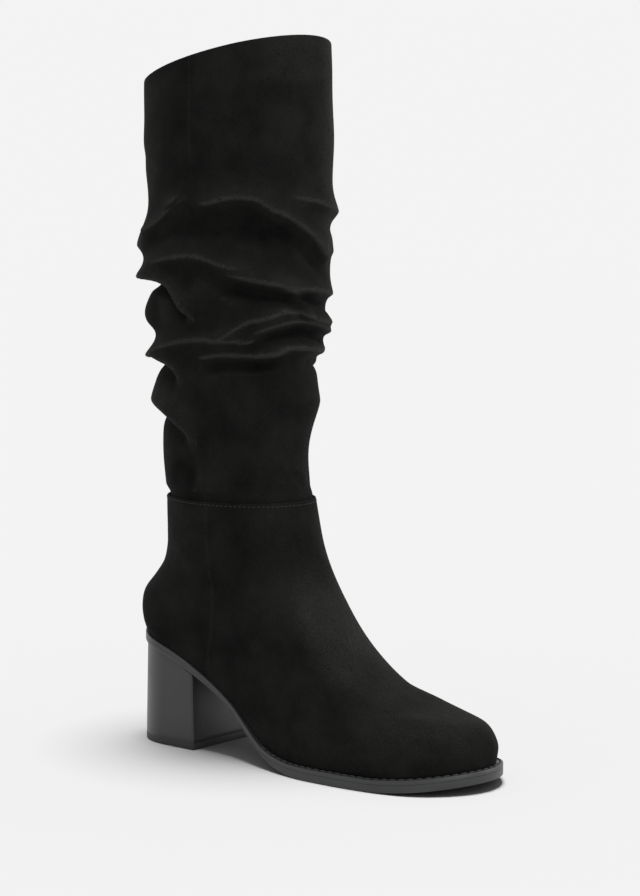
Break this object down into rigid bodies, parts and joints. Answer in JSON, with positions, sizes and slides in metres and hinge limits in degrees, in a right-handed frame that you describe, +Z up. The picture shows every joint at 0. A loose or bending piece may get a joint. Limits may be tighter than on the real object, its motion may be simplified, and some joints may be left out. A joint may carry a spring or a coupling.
{
  "type": "slouch boot",
  "caption": "Right-foot mid-calf suede boot with a slouched shaft, a round toe, a welted leather sole and a block heel.",
  "frame": {"origin": "on the floor under the middle of the heel", "axes": "+X from the heel to the toe, +Y to the inner side of the foot, +Z up from the floor"},
  "size_m": [0.2461, 0.1059, 0.4112],
  "materials": {
    "suede": "black suede with a short nap, rubbed paler along the front of the foot and on the fold crests",
    "lining": "smooth black leather lining, matte",
    "sole": "black sole leather with a satin dressed edge",
    "heel": "black heel covering with a satin polish",
    "top_piece": "matte black rubber"
  },
  "bodies": {
    "root": {"outsole": "sole", "welt": "sole", "heel_block": "heel", "top_piece": "top_piece", "insole": "lining", "upper": "suede", "shaft": "suede"}
  },
  "joints": []
}
